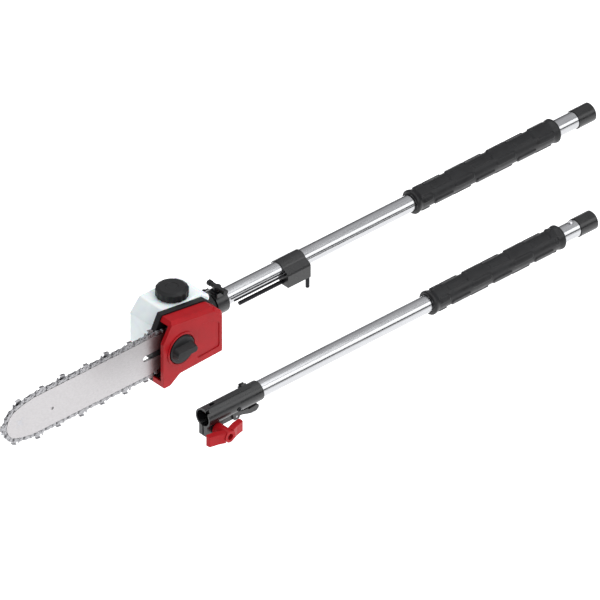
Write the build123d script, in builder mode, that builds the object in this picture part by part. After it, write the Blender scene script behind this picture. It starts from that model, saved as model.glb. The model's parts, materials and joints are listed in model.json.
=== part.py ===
from build123d import *
import math
import os

# A pole saw with a bolt-on saw head and a second, separate extension pole that lies beside it.
# Frame: the main pole lies along X with its free end at the origin and the saw head towards -X, +Z is up,
# and the guide bar stands in the XZ plane on the -Y side of the pole. All sizes are in millimetres.

os.makedirs("parts", exist_ok=True)

# --- driving dimensions: poles ---------------------------------------------------------------------
TUBE_R = 12.0  # both poles are 24 mm aluminium tube
TUBE_BORE_R = 10.5
SPIGOT_R = 11.6  # the drawn-down end that enters a coupler
SPIGOT_LENGTH = 26.0
POLE_HEAD_X = -699.5  # where the main tube stops inside the gear housing
SHAFT_R = 3.5  # drive shaft inside the poles
BUSH_R = 10.45
CAP_LENGTH = 30.0
CAP_R = 13.3
CAP_SKIRT_BORE_R = 12.3
CAP_WALL = 3.0
CAP_PLUG_LENGTH = 8.0  # the part of the cap that goes into the tube and holds it
RUNNING = 0.05  # radial gap of a piece that turns or slides on another
CLEAR = 0.3  # gap between separate pieces that move

# --- driving dimensions: saw head ------------------------------------------------------------------
BAR_Y = -36.0  # middle plane of the guide bar and chain
BAR_THICKNESS = 4.0
BAR_HALF_WIDTH = 28.5
BAR_TAIL_X = -752.0
TAIL_START_X = -815.0  # the bar narrows towards its tail from here
TAIL_ARC_R = 140.0
SHOULDER_X = -1004.0  # the bar narrows towards its nose from here
NOSE_X = -1036.4
NOSE_R = 22.6
GROOVE_WIDTH = 1.5
GROOVE_DEPTH = 7.5
RIVET_LINE = 3.2  # height of the chain rivets above the bar rails
LINK_COUNT = 80  # rivets in the chain, which is 40 drive links
SPROCKET_X = -727.0
SPROCKET_PITCH_R = 18.4
STUD_X = -767.0
STUD_R = 4.0
TENSION_Y = -26.0
TENSION_Z = -12.5
PLATE_FRONT_Y = -30.5  # near face of the gear housing's back plate
PLATE_BACK_Y = -22.0
COVER_BACK_Y = -31.0
COVER_FRONT_Y = -52.0
COVER_WALL = 2.6
TANK_NECK_X = -735.0
TANK_NECK_Y = 3.0
TANK_TOP_Z = 43.0
COLLAR_X = (-672.0, -652.0)
HOLDER_X = (-553.0, -513.0)
MAIN_GRIP_X = (-318.0, -63.0)

# --- driving dimensions: extension pole ------------------------------------------------------------
EXT_Y = -149.0
EXT_Z = -37.0
EXT_MOUTH_X = -816.5
EXT_BARREL_END_X = -721.0
EXT_SOCKET_R = 11.7
EXT_GRIP_END_X = -792.0  # the mouth grips the mating tube up to here
EXT_SOCKET_END_X = -774.5  # and the wider relief behind it ends here
EXT_RELIEF_R = 12.0
EXT_TUBE_X = (-771.0, -132.0)
EXT_GRIP_X = (-422.0, -189.0)
BARREL_R = 14.0
WING_X = -800.0
WING_DROP = 19.0  # wing knob axis below the barrel axis
LEVER_PIVOT_X = -763.5
LEVER_DROP = 18.5


# --- small helpers ---------------------------------------------------------------------------------
def save(piece, label):
    """Label a finished piece and write its STEP file."""
    piece.part.label = label
    export_step(piece.part, f"parts/{label}.step")


def across(x, y=0.0, z=0.0):
    """A plane square to X at x, whose middle is the line (y, z); it extrudes towards +X."""
    return Plane(origin=(x, y, z), x_dir=(0, 1, 0), z_dir=(1, 0, 0))


def near_side(y, x=0.0, z=0.0):
    """A plane square to Y at y, with local axes X and Z; it extrudes towards -Y."""
    return Plane(origin=(x, y, z), x_dir=(1, 0, 0), z_dir=(0, -1, 0))


def level(z, x=0.0, y=0.0):
    """A plane square to Z at z; it extrudes upwards."""
    return Plane(origin=(x, y, z), x_dir=(1, 0, 0), z_dir=(0, 0, 1))


def round_bar(plane, length, radius, mode=Mode.ADD):
    """Add or cut a round bar that stands on a plane."""
    with BuildSketch(plane) as profile:
        Circle(radius)
    extrude(profile.sketch, amount=length, mode=mode)


def ring(plane, length, outer, inner):
    """Add a round tube that stands on a plane."""
    with BuildSketch(plane) as profile:
        Circle(outer)
        Circle(inner, mode=Mode.SUBTRACT)
    extrude(profile.sketch, amount=length)


def block(x, y, z, mode=Mode.ADD, corner=0.0):
    """Add or cut a box between two limits on each axis, with rounded upright corners if asked."""
    with BuildSketch(level(z[0], (x[0] + x[1]) / 2, (y[0] + y[1]) / 2)) as profile:
        Rectangle(x[1] - x[0], y[1] - y[0])
        if corner:
            fillet(profile.vertices(), corner)
    extrude(profile.sketch, amount=z[1] - z[0], mode=mode)


def outline(plane, points, length, corner=0.0, mode=Mode.ADD):
    """Add or cut a prism with straight sides and rounded corners that stands on a plane."""
    with BuildSketch(plane) as profile:
        with BuildLine():
            Polyline(*points, close=True)
        make_face()
        if corner:
            fillet(profile.vertices(), corner)
    extrude(profile.sketch, amount=length, mode=mode)


# --- guide bar outline and chain loop --------------------------------------------------------------
def polar(centre, radius, angle):
    """The point at an angle in degrees on a circle about centre."""
    turn = math.radians(angle)
    return (centre[0] + radius * math.cos(turn), centre[1] + radius * math.sin(turn))


def below(point):
    """The mirror image of a point on the lower edge."""
    return (point[0], -point[1])


# The shoulder arc starts level on the bar's straight edge and ends tangent to the nose.
SHOULDER_R = ((SHOULDER_X - NOSE_X) ** 2 + BAR_HALF_WIDTH**2 - NOSE_R**2) / (2 * (BAR_HALF_WIDTH - NOSE_R))
SHOULDER_CENTRE = (SHOULDER_X, BAR_HALF_WIDTH - SHOULDER_R)
SHOULDER_ANGLE = math.degrees(math.atan2(-SHOULDER_CENTRE[1], NOSE_X - SHOULDER_X))
TAIL_CENTRE = (TAIL_START_X, BAR_HALF_WIDTH - TAIL_ARC_R)


def bar_front_lines(gap):
    """Draw the bar's edge moved outwards by gap, from the tail taper round the nose to the same place below."""
    top = (TAIL_START_X, BAR_HALF_WIDTH + gap)
    shoulder = (SHOULDER_X, BAR_HALF_WIDTH + gap)
    middle = polar(SHOULDER_CENTRE, SHOULDER_R + gap, (90 + SHOULDER_ANGLE) / 2)
    joint = polar(SHOULDER_CENTRE, SHOULDER_R + gap, SHOULDER_ANGLE)
    Line(top, shoulder)
    ThreePointArc(shoulder, middle, joint)
    ThreePointArc(joint, (NOSE_X - NOSE_R - gap, 0), below(joint))
    ThreePointArc(below(joint), below(middle), below(shoulder))
    Line(below(shoulder), below(top))


def bar_outline(gap, tail_x):
    """The bar's closed outline moved outwards by gap, with its blunt tail at tail_x."""
    radius = TAIL_ARC_R + gap
    angle = math.degrees(math.acos((tail_x - TAIL_START_X) / radius))
    top = (TAIL_START_X, BAR_HALF_WIDTH + gap)
    middle = polar(TAIL_CENTRE, radius, (90 + angle) / 2)
    corner = polar(TAIL_CENTRE, radius, angle)
    with BuildSketch(near_side(0)) as profile:
        with BuildLine():
            bar_front_lines(gap)
            ThreePointArc(below(top), below(middle), below(corner))
            Line(below(corner), corner)
            ThreePointArc(corner, middle, top)
        make_face()
    return profile.sketch


def chain_loop():
    """The line through the chain's rivets: along the bar, then straight to the drive sprocket and round it."""
    radius = TAIL_ARC_R + RIVET_LINE
    run = math.hypot(SPROCKET_X - TAIL_CENTRE[0], TAIL_CENTRE[1])
    aim = math.degrees(math.atan2(-TAIL_CENTRE[1], SPROCKET_X - TAIL_CENTRE[0]))
    angle = aim + math.degrees(math.acos((radius - SPROCKET_PITCH_R) / run))
    top = (TAIL_START_X, BAR_HALF_WIDTH + RIVET_LINE)
    middle = polar(TAIL_CENTRE, radius, (90 + angle) / 2)
    leave = polar(TAIL_CENTRE, radius, angle)
    meet = polar((SPROCKET_X, 0), SPROCKET_PITCH_R, angle)
    with BuildLine() as loop:
        bar_front_lines(RIVET_LINE)
        ThreePointArc(below(top), below(middle), below(leave))
        Line(below(leave), below(meet))
        ThreePointArc(below(meet), (SPROCKET_X + SPROCKET_PITCH_R, 0), meet)
        Line(meet, leave)
        ThreePointArc(leave, middle, top)
    return loop.wire()


CHAIN = chain_loop()
PITCH = CHAIN.length / LINK_COUNT
RIVETS = [CHAIN.position_at(n * PITCH, position_mode=PositionMode.LENGTH) for n in range(LINK_COUNT)]


def link_places(first, step):
    """Where links sit: midway between two rivets and turned along the chain, from link number first."""
    places = []
    for n in range(first, LINK_COUNT, step):
        a = RIVETS[n]
        b = RIVETS[(n + 1) % LINK_COUNT]
        angle = math.degrees(math.atan2(b.Y - a.Y, b.X - a.X))
        places.append(Location(((a.X + b.X) / 2, (a.Y + b.Y) / 2, 0), (0, 0, angle)))
    return places


# --- saw chain: local X runs along the chain and local Y points into the bar ---------------------------
RIVET_R = 1.9
DRIVE_HALF = 0.65  # half the thickness of a drive link
PLATE_INNER = 0.7  # side plates lie between these distances from the chain's middle plane
PLATE_OUTER = 1.8
DRIVE_LINK = [
    (-7.6, -1.4),
    (-6.2, -2.9),
    (6.2, -2.9),
    (7.6, -1.4),
    (7.6, 1.4),
    (4.4, 3.2),
    (2.6, 6.4),
    (-1.4, 6.6),
    (-5.6, 3.0),
    (-7.6, 1.4),
]
TIE_STRAP = [
    (-7.7, -1.3),
    (-6.4, -2.9),
    (-3.0, -2.9),
    (-1.8, -2.3),
    (1.8, -2.3),
    (3.0, -2.9),
    (6.4, -2.9),
    (7.7, -1.3),
    (7.7, 1.3),
    (6.4, 2.9),
    (3.0, 2.9),
    (1.8, 2.3),
    (-1.8, 2.3),
    (-3.0, 2.9),
    (-6.4, 2.9),
    (-7.7, 1.3),
]
CUTTER = [
    (-7.7, 1.3),
    (-7.5, -4.8),
    (-6.2, -6.7),
    (1.2, -7.7),
    (0.4, -5.0),
    (2.2, -2.9),
    (3.8, -3.2),
    (4.4, -5.6),
    (5.4, -6.6),
    (6.6, -5.6),
    (7.7, -1.3),
    (7.7, 1.3),
    (6.4, 2.9),
    (3.0, 2.9),
    (1.8, 2.3),
    (-1.8, 2.3),
    (-3.0, 2.9),
    (-6.4, 2.9),
]
CUTTER_TOP = [(-7.0, -6.0), (-6.2, -7.1), (1.3, -8.0), (1.1, -6.9)]
CUTTER_REACH = (-0.6, 3.1)  # the top plate runs from past the middle to outside its own side plate
TIES = link_places(1, 4)
NEAR_CUTTERS = link_places(3, 8)
FAR_CUTTERS = link_places(7, 8)


def plates(shape, places, start, end, holes=True):
    """Add flat plates of one shape at many places, between two distances to the near side of the chain."""
    with BuildSketch(near_side(BAR_Y - start)) as profile:
        with Locations(*places):
            Polygon(*shape, align=None)
        if holes:
            with Locations(*[(rivet.X, rivet.Y) for rivet in RIVETS]):
                Circle(RIVET_R, mode=Mode.SUBTRACT)
    extrude(profile.sketch, amount=end - start)


with BuildPart() as drive_links:
    plates(DRIVE_LINK, link_places(0, 2), -DRIVE_HALF, DRIVE_HALF)
save(drive_links, "chain_drive_links")

with BuildPart() as tie_straps:
    plates(TIE_STRAP, TIES + FAR_CUTTERS, PLATE_INNER, PLATE_OUTER)
    plates(TIE_STRAP, TIES + NEAR_CUTTERS, -PLATE_OUTER, -PLATE_INNER)
save(tie_straps, "chain_tie_straps")

with BuildPart() as cutters:
    plates(CUTTER, NEAR_CUTTERS, PLATE_INNER, PLATE_OUTER)
    plates(CUTTER_TOP, NEAR_CUTTERS, CUTTER_REACH[0], CUTTER_REACH[1], holes=False)
    plates(CUTTER, FAR_CUTTERS, -PLATE_OUTER, -PLATE_INNER)
    plates(CUTTER_TOP, FAR_CUTTERS, -CUTTER_REACH[1], -CUTTER_REACH[0], holes=False)
save(cutters, "chain_cutters")

with BuildPart() as chain_rivets:
    with BuildSketch(near_side(BAR_Y + 2.3)) as profile:
        with Locations(*[(rivet.X, rivet.Y) for rivet in RIVETS]):
            Circle(RIVET_R)
    extrude(profile.sketch, amount=4.6)
save(chain_rivets, "chain_rivets")

# --- guide bar -----------------------------------------------------------------------------------------
BAR_BACK_Y = BAR_Y + BAR_THICKNESS / 2
BAR_SLOT_X = (-822.0, -760.5)
BAR_SLOT_HEIGHT = 9.0
TENSION_PIN_X = -783.0
TENSION_PIN_R = 1.8
BAR_HOLE_X = -980.0
NOSE_POCKET_R = 18.8
NOSE_AXLE_R = 4.0
NOSE_RIVET_R = 1.6
NOSE_RIVET_CIRCLE_R = 6.8


def bar_slice(profile, y, thickness, mode=Mode.ADD):
    """Add or cut a slice of the bar that starts at y and goes towards -Y."""
    extrude(profile.moved(Location((0, y, 0))), amount=thickness, dir=(0, -1, 0), mode=mode)


with BuildPart() as guide_bar:
    bar_slice(bar_outline(0, BAR_TAIL_X), BAR_BACK_Y, BAR_THICKNESS)
    rim = bar_outline(1, BAR_TAIL_X + 1) - bar_outline(-GROOVE_DEPTH, BAR_TAIL_X - GROOVE_DEPTH)
    bar_slice(rim, BAR_Y + GROOVE_WIDTH / 2, GROOVE_WIDTH, Mode.SUBTRACT)
    round_bar(near_side(BAR_Y + GROOVE_WIDTH / 2, NOSE_X), GROOVE_WIDTH, NOSE_POCKET_R, Mode.SUBTRACT)
    with BuildSketch(near_side(BAR_BACK_Y)) as openings:
        with Locations(((BAR_SLOT_X[0] + BAR_SLOT_X[1]) / 2, 0)):
            SlotOverall(BAR_SLOT_X[1] - BAR_SLOT_X[0], BAR_SLOT_HEIGHT)
        with Locations((TENSION_PIN_X, TENSION_Z), (TENSION_PIN_X, -TENSION_Z)):
            Circle(TENSION_PIN_R + RUNNING)
        with Locations((BAR_HOLE_X, -3)):
            Circle(2.2)
        with Locations((NOSE_X, 0)):
            Circle(NOSE_AXLE_R)
            with PolarLocations(NOSE_RIVET_CIRCLE_R, 4, start_angle=45):
                Circle(NOSE_RIVET_R)
    extrude(openings.sketch, amount=BAR_THICKNESS, mode=Mode.SUBTRACT)
save(guide_bar, "guide_bar")

with BuildPart() as nose_rivets:
    with BuildSketch(near_side(BAR_BACK_Y, NOSE_X)) as profile:
        Circle(NOSE_AXLE_R)
        with PolarLocations(NOSE_RIVET_CIRCLE_R, 4, start_angle=45):
            Circle(NOSE_RIVET_R)
    axle, *small = profile.sketch.faces().sort_by(SortBy.AREA, reverse=True)
    extrude(axle, amount=BAR_THICKNESS)
    half_plate = (BAR_THICKNESS - GROOVE_WIDTH) / 2
    extrude(small, amount=half_plate)
    extrude([face.moved(Location((0, half_plate - BAR_THICKNESS, 0))) for face in small], amount=half_plate)
save(nose_rivets, "nose_rivets")

NOSE_TEETH = 9
NOSE_SPROCKET_R = 18.2
with BuildPart() as nose_sprocket:
    with BuildSketch(near_side(BAR_Y + GROOVE_WIDTH / 2 - 0.15, NOSE_X)) as profile:
        Circle(NOSE_SPROCKET_R)
        Circle(NOSE_AXLE_R + RUNNING, mode=Mode.SUBTRACT)
        with PolarLocations(NOSE_SPROCKET_R + 1.0, NOSE_TEETH, start_angle=20):
            Circle(4.6, mode=Mode.SUBTRACT)
    extrude(profile.sketch, amount=GROOVE_WIDTH - 0.3)
save(nose_sprocket, "nose_sprocket")

# --- main pole -----------------------------------------------------------------------------------------
def pole(x, y, z):
    """An aluminium tube with a slightly smaller spigot at its free end."""
    with BuildPart() as tube:
        ring(across(x[0], y, z), x[1] - x[0] - SPIGOT_LENGTH, TUBE_R, TUBE_BORE_R)
        ring(across(x[1] - SPIGOT_LENGTH, y, z), SPIGOT_LENGTH, SPIGOT_R, TUBE_BORE_R)
    return tube


def bushes(places, y, z):
    """Plastic bushes that hold the drive shaft in the middle of a pole."""
    with BuildPart() as group:
        for x in places:
            ring(across(x, y, z), 12.0, BUSH_R, SHAFT_R + RUNNING)
    return group


def end_cap(x, y, z):
    """A plastic cap on the end of a pole: a plug in the bore, and a skirt outside; x is the end of the pole."""
    with BuildPart() as cap:
        round_bar(across(x + CLEAR + CAP_WALL - CAP_LENGTH, y, z), CAP_LENGTH, CAP_R)
        round_bar(across(x + CLEAR - CAP_LENGTH, y, z), CAP_LENGTH, CAP_SKIRT_BORE_R, Mode.SUBTRACT)
        ring(across(x - CAP_PLUG_LENGTH, y, z), CAP_PLUG_LENGTH + CLEAR, BUSH_R, BUSH_R - 2.0)
        chamfer(cap.edges().filter_by(GeomType.CIRCLE).sort_by(Axis.X)[-1], 1.2)
    return cap


def rubber_grip(x, y, z):
    """A foam-rubber sleeve with a flared collar at each end."""
    with BuildPart() as grip:
        ring(across(x[0], y, z), x[1] - x[0], 16.6, TUBE_R)
        for start in (x[0], x[1] - 9.0):
            ring(across(start, y, z), 9.0, 18.0, TUBE_R)
        rims = grip.edges().filter_by(GeomType.CIRCLE).filter_by(lambda edge: edge.radius > 17.0)
        chamfer(rims, 1.2)
    return grip


main_tube = pole((POLE_HEAD_X, 0.0), 0, 0)
save(main_tube, "main_tube")
shaft_bushes = bushes((-690.0, -520.0, -350.0, -180.0, -34.0), 0, 0)
save(shaft_bushes, "main_shaft_bushes")
main_end_cap = end_cap(0, 0, 0)
save(main_end_cap, "main_end_cap")
main_grip = rubber_grip(MAIN_GRIP_X, 0, 0)
save(main_grip, "main_grip")

# --- drive shaft, bevel gears and sprocket -------------------------------------------------------------
GEAR_PITCH_R = 15.0
PINION_PITCH_R = 9.0
GEAR_TEETH = 20
PINION_TEETH = 12
FACE_SHARE = 0.63  # inner end of the teeth, as a share of the pitch radius
SQUARE = 5.0  # driven end of a shaft, across flats
OUTPUT_R = 4.0
GEAR_BACK_Y = -21.5

with BuildPart() as drive_shaft:
    round_bar(across(SPROCKET_X + 9.2), 690.0, SHAFT_R)
    with BuildSketch(across(SPROCKET_X + 699.2)) as profile:
        Rectangle(SQUARE, SQUARE)
    extrude(profile.sketch, amount=18.0)
save(drive_shaft, "drive_shaft")


def bevel_gear(plane, pitch_r, mate_r, teeth, groove, section):
    """A straight bevel gear: its cone tip is the plane's origin and its axis is the plane's X."""
    lean = math.degrees(math.atan2(pitch_r, mate_r))
    middle = (1 + FACE_SHARE) / 2
    seat = Location((mate_r * middle, 0, pitch_r * middle), (0, -lean, 0))
    with BuildPart() as gear:
        with BuildSketch(plane):
            with BuildLine():
                Polyline(*section, close=True)
            make_face()
        revolve(axis=Axis(plane.origin, plane.x_dir))
        for n in range(teeth):
            turn = Location((0, 0, 0), (360 * n / teeth, 0, 0))
            cut = Box(9.0, groove, 2.4, mode=Mode.PRIVATE)
            add(plane.location * turn * seat * cut, mode=Mode.SUBTRACT)
    return gear


def bevel_section(pitch_r, mate_r, back, hub_r, hub_end, bore):
    """Half section of a bevel gear, as (distance from the cone tip, radius) points."""
    tip = 0.25  # keeps the tooth tips of the two gears apart at every angle
    return [
        (mate_r * FACE_SHARE + tip, bore),
        (mate_r * FACE_SHARE + tip, pitch_r * FACE_SHARE - tip),
        (mate_r + tip, pitch_r - tip),
        (mate_r + back, pitch_r - 0.6),
        (mate_r + back, hub_r),
        (hub_end, hub_r),
        (hub_end, bore),
    ]


pinion_section = bevel_section(PINION_PITCH_R, GEAR_PITCH_R, 3.0, 6.0, 20.0, SHAFT_R)
pinion_plane = Plane(origin=(SPROCKET_X, 0, 0), x_dir=(1, 0, 0), z_dir=(0, 0, 1))
bevel_pinion = bevel_gear(pinion_plane, PINION_PITCH_R, GEAR_PITCH_R, PINION_TEETH, 1.9, pinion_section)
save(bevel_pinion, "bevel_pinion")

gear_section = bevel_section(GEAR_PITCH_R, PINION_PITCH_R, 3.0, 9.0, -GEAR_BACK_Y, OUTPUT_R)
gear_plane = Plane(origin=(SPROCKET_X, 0, 0), x_dir=(0, -1, 0), z_dir=(0, 0, 1))
output_gear = bevel_gear(gear_plane, GEAR_PITCH_R, PINION_PITCH_R, GEAR_TEETH, 1.9, gear_section)
save(output_gear, "bevel_gear")

CLIP_Y = -40.5
with BuildPart() as output_shaft:
    round_bar(near_side(14.3, SPROCKET_X), 56.8, OUTPUT_R)
    with BuildSketch(near_side(CLIP_Y, SPROCKET_X)) as groove:
        Circle(OUTPUT_R + 1)
        Circle(OUTPUT_R - 0.7, mode=Mode.SUBTRACT)
    extrude(groove.sketch, amount=0.8, mode=Mode.SUBTRACT)
    chamfer(output_shaft.edges().filter_by(GeomType.CIRCLE).sort_by(Axis.Y)[0], 0.5)
save(output_shaft, "output_shaft")

RIM_R = 15.0
RIM_GAP = 0.95
with BuildPart() as drive_sprocket:
    ring(near_side(BAR_Y + 3.6, SPROCKET_X), 7.6, 10.4, OUTPUT_R)
    for start in (3.0, -RIM_GAP):
        ring(near_side(BAR_Y + start, SPROCKET_X), 3.0 - RIM_GAP, RIM_R, OUTPUT_R)
    with BuildSketch(near_side(BAR_Y + 3.6, SPROCKET_X)) as lightening:
        with PolarLocations(12.6, 6):
            Circle(1.7)
    extrude(lightening.sketch, amount=7.6, mode=Mode.SUBTRACT)
save(drive_sprocket, "drive_sprocket")

with BuildPart() as sprocket_clip:
    ring(near_side(CLIP_Y, SPROCKET_X), 0.8, 6.6, OUTPUT_R - 0.7)
    with BuildSketch(near_side(CLIP_Y, SPROCKET_X, -5.0)) as mouth:
        Rectangle(5.0, 7.0)
    extrude(mouth.sketch, amount=0.8, mode=Mode.SUBTRACT)
save(sprocket_clip, "sprocket_clip")

WORM_Y = 3.0
with BuildPart() as oil_worm:
    ring(near_side(WORM_Y + 5.0, SPROCKET_X), 6.0, 5.6, OUTPUT_R)
    for n in range(4):
        with BuildSketch(near_side(WORM_Y + 4.4 - 1.4 * n, SPROCKET_X)) as thread:
            Circle(6)
            Circle(5.0, mode=Mode.SUBTRACT)
        extrude(thread.sketch, amount=0.7, mode=Mode.SUBTRACT)
save(oil_worm, "oil_worm")

# --- bearings --------------------------------------------------------------------------------------------
PINION_BEARING_X = -706.5
NEAR_BEARING_Y = -21.8
FAR_BEARING_Y = 14.5


def ball_bearing(plane, width, outer, inner):
    """A shielded ball bearing: one ring with a shallow shield step on each face."""
    ring(plane, width, outer, inner)
    for depth in (0.0, width - 0.5):
        with BuildSketch(plane.offset(depth)) as shield:
            Circle(outer - 1.6)
            Circle(inner + 1.6, mode=Mode.SUBTRACT)
        extrude(shield.sketch, amount=0.5, mode=Mode.SUBTRACT)


with BuildPart() as pinion_bearing:
    ball_bearing(across(PINION_BEARING_X), 6.0, 9.5, SHAFT_R + RUNNING)
save(pinion_bearing, "pinion_bearing")

with BuildPart() as output_bearings:
    ball_bearing(near_side(NEAR_BEARING_Y, SPROCKET_X), 7.0, 11.0, OUTPUT_R + RUNNING)
    ball_bearing(near_side(FAR_BEARING_Y, SPROCKET_X), 5.0, 8.0, OUTPUT_R + RUNNING)
save(output_bearings, "output_bearings")

# --- gear housing in two halves ----------------------------------------------------------------------------
HOUSING_X = (-749.0, -690.0)
HOUSING_Z = (-30.0, 25.0)
HOUSING_FAR_Y = 19.0
CAVITY_R = 20.5
HOUSING_SCREWS = [(-744.0, 20.0), (-744.0, -25.0), (-695.5, 20.0), (-695.5, -25.0)]
TANK_SCREWS = [(-760.0, 36.5), (-776.0, -24.0)]
BACK_PLATE = [
    (-783.0, 50.0),
    (-706.0, 39.5),
    (-693.0, 27.0),
    (-690.0, -36.0),
    (-770.0, -38.6),
    (-787.0, -50.6),
    (-797.5, -50.6),
    (-797.5, -8.5),
    (-806.0, -8.5),
    (-806.0, 8.5),
    (-797.5, 8.5),
    (-797.5, 22.0),
]
TENSION_SLOT_X = (-790.0, -772.0)
SCREW_HEAD_X = -797.5


def pole_passages(start_y, depth):
    """Cut the passages for the pinion, its bearing and the main tube, which both halves share."""
    round_bar(across(-716.0), 9.5, 10.0, Mode.SUBTRACT)
    round_bar(across(PINION_BEARING_X), 6.5, 9.5, Mode.SUBTRACT)
    round_bar(across(PINION_BEARING_X + 6.0), 40.0, TUBE_R, Mode.SUBTRACT)
    round_bar(near_side(start_y, SPROCKET_X), depth, CAVITY_R, Mode.SUBTRACT)


with BuildPart() as housing_near:
    block(HOUSING_X, (PLATE_BACK_Y, 0), HOUSING_Z)
    outline(near_side(PLATE_BACK_Y), BACK_PLATE, PLATE_BACK_Y - PLATE_FRONT_Y, corner=1.5)
    with BuildSketch(across(HOUSING_X[1])) as neck:
        Circle(17.0)
        with Locations((10.0, 0)):
            Rectangle(22.0, 40.0, mode=Mode.SUBTRACT)
    extrude(neck.sketch, amount=16.0)
    pole_passages(0, -NEAR_BEARING_Y)
    round_bar(near_side(NEAR_BEARING_Y, SPROCKET_X), 7.0, 11.0, Mode.SUBTRACT)
    round_bar(near_side(NEAR_BEARING_Y, SPROCKET_X), 10.0, 6.0, Mode.SUBTRACT)
    with BuildSketch(near_side(0)) as screw_holes:
        with Locations(*HOUSING_SCREWS):
            Circle(2.0)
    extrude(screw_holes.sketch, amount=26.0, mode=Mode.SUBTRACT)
    with BuildSketch(near_side(PLATE_BACK_Y)) as tank_holes:
        with Locations(*TANK_SCREWS):
            Circle(1.8)
    extrude(tank_holes.sketch, amount=20.0, mode=Mode.SUBTRACT)
    with BuildSketch(near_side(PLATE_FRONT_Y + 2.0)) as tank_heads:
        with Locations(*TANK_SCREWS):
            Circle(3.4)
    extrude(tank_heads.sketch, amount=4.0, mode=Mode.SUBTRACT)
    round_bar(near_side(PLATE_FRONT_Y + 7.0, STUD_X), 8.0, STUD_R, Mode.SUBTRACT)
    block(TENSION_SLOT_X, (PLATE_FRONT_Y - 1, TENSION_Y + 3.4), (TENSION_Z - 4.4, TENSION_Z + 4.4), Mode.SUBTRACT)
    round_bar(across(SCREW_HEAD_X, TENSION_Y, TENSION_Z), 30.0, 2.5 + RUNNING, Mode.SUBTRACT)
    round_bar(across(SCREW_HEAD_X, TENSION_Y, TENSION_Z), 3.4, 3.8 + RUNNING, Mode.SUBTRACT)
save(housing_near, "gear_housing_near")

with BuildPart() as housing_far:
    block(HOUSING_X, (0, HOUSING_FAR_Y), HOUSING_Z)
    edges = housing_far.edges().filter_by(Axis.X).group_by(Axis.Y)[-1]
    chamfer(edges, 4.0)
    pole_passages(9.5, 9.5)
    round_bar(near_side(FAR_BEARING_Y, SPROCKET_X), 5.0, 8.0, Mode.SUBTRACT)
    with BuildSketch(near_side(HOUSING_FAR_Y)) as screw_holes:
        with Locations(*HOUSING_SCREWS):
            Circle(2.0)
    extrude(screw_holes.sketch, amount=30.0, mode=Mode.SUBTRACT)
    with BuildSketch(near_side(HOUSING_FAR_Y)) as screw_seats:
        with Locations(*HOUSING_SCREWS):
            Circle(4.0)
    extrude(screw_seats.sketch, amount=4.5, mode=Mode.SUBTRACT)
    round_bar(across(HOUSING_X[0], 6.0, -12.0), 8.0, 2.3, Mode.SUBTRACT)
save(housing_far, "gear_housing_far")


def cap_screw(plane, length, shank_r, head_r, head_height):
    """A socket-head screw: the plane is under its head, and the shank goes along the plane's normal."""
    round_bar(plane, length, shank_r)
    round_bar(plane, -head_height, head_r)
    with BuildSketch(plane.offset(-head_height)) as socket:
        RegularPolygon(head_r * 0.5, 6)
    extrude(socket.sketch, amount=head_height * 0.6, mode=Mode.SUBTRACT)


with BuildPart() as housing_screws:
    for x, z in HOUSING_SCREWS:
        cap_screw(near_side(HOUSING_FAR_Y - 4.5, x, z), 38.0, 2.0, 3.7, 4.0)
save(housing_screws, "housing_screws")

with BuildPart() as tank_screws:
    for x, z in TANK_SCREWS:
        cap_screw(near_side(PLATE_FRONT_Y + 2.0, x, z).rotated((180, 0, 0)), 15.0, 1.8, 3.3, 1.9)
save(tank_screws, "tank_screws")

# The bar's slot rides on a black pad; the stud beside it carries the cover knob.
PAD_X = (-806.0, -776.0)
with BuildPart() as bar_guide_pad:
    outline(near_side(PLATE_FRONT_Y), [(-806, -8), (-752, -8), (-752, 8), (-806, 8)], 3.2, corner=2.0)
    rail = [(PAD_X[0], -4.0), (PAD_X[1], -4.0), (PAD_X[1], 4.0), (PAD_X[0], 4.0)]
    outline(near_side(PLATE_FRONT_Y), rail, 7.9, corner=1.5)
    round_bar(near_side(PLATE_FRONT_Y, STUD_X), 10.0, STUD_R, Mode.SUBTRACT)
save(bar_guide_pad, "bar_guide_pad")

with BuildPart() as bar_stud:
    round_bar(near_side(PLATE_FRONT_Y + 7.0, STUD_X), 34.0, STUD_R)
    chamfer(bar_stud.edges().filter_by(GeomType.CIRCLE).sort_by(Axis.Y)[0], 0.8)
save(bar_stud, "bar_stud")

# --- chain tensioner -----------------------------------------------------------------------------------------
with BuildPart() as tension_screw:
    round_bar(across(SCREW_HEAD_X + 0.2, TENSION_Y, TENSION_Z), 3.0, 3.8)
    round_bar(across(SCREW_HEAD_X + 3.2, TENSION_Y, TENSION_Z), 25.0, 2.5)
    with BuildSketch(across(SCREW_HEAD_X + 0.2, TENSION_Y, TENSION_Z)) as slot:
        Rectangle(1.0, 7.8)
    extrude(slot.sketch, amount=1.2, mode=Mode.SUBTRACT)
save(tension_screw, "tension_screw")

with BuildPart() as tension_block:
    block(
        (TENSION_PIN_X - 4, TENSION_PIN_X + 4),
        (PLATE_FRONT_Y + 0.3, TENSION_Y + 3.1),
        (TENSION_Z - 4.1, TENSION_Z + 4.1),
    )
    round_bar(near_side(PLATE_FRONT_Y + 0.5, TENSION_PIN_X, TENSION_Z), 7.8, TENSION_PIN_R)
    round_bar(across(TENSION_PIN_X - 5, TENSION_Y, TENSION_Z), 10.0, 2.5 + RUNNING, Mode.SUBTRACT)
save(tension_block, "tension_block")

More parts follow.
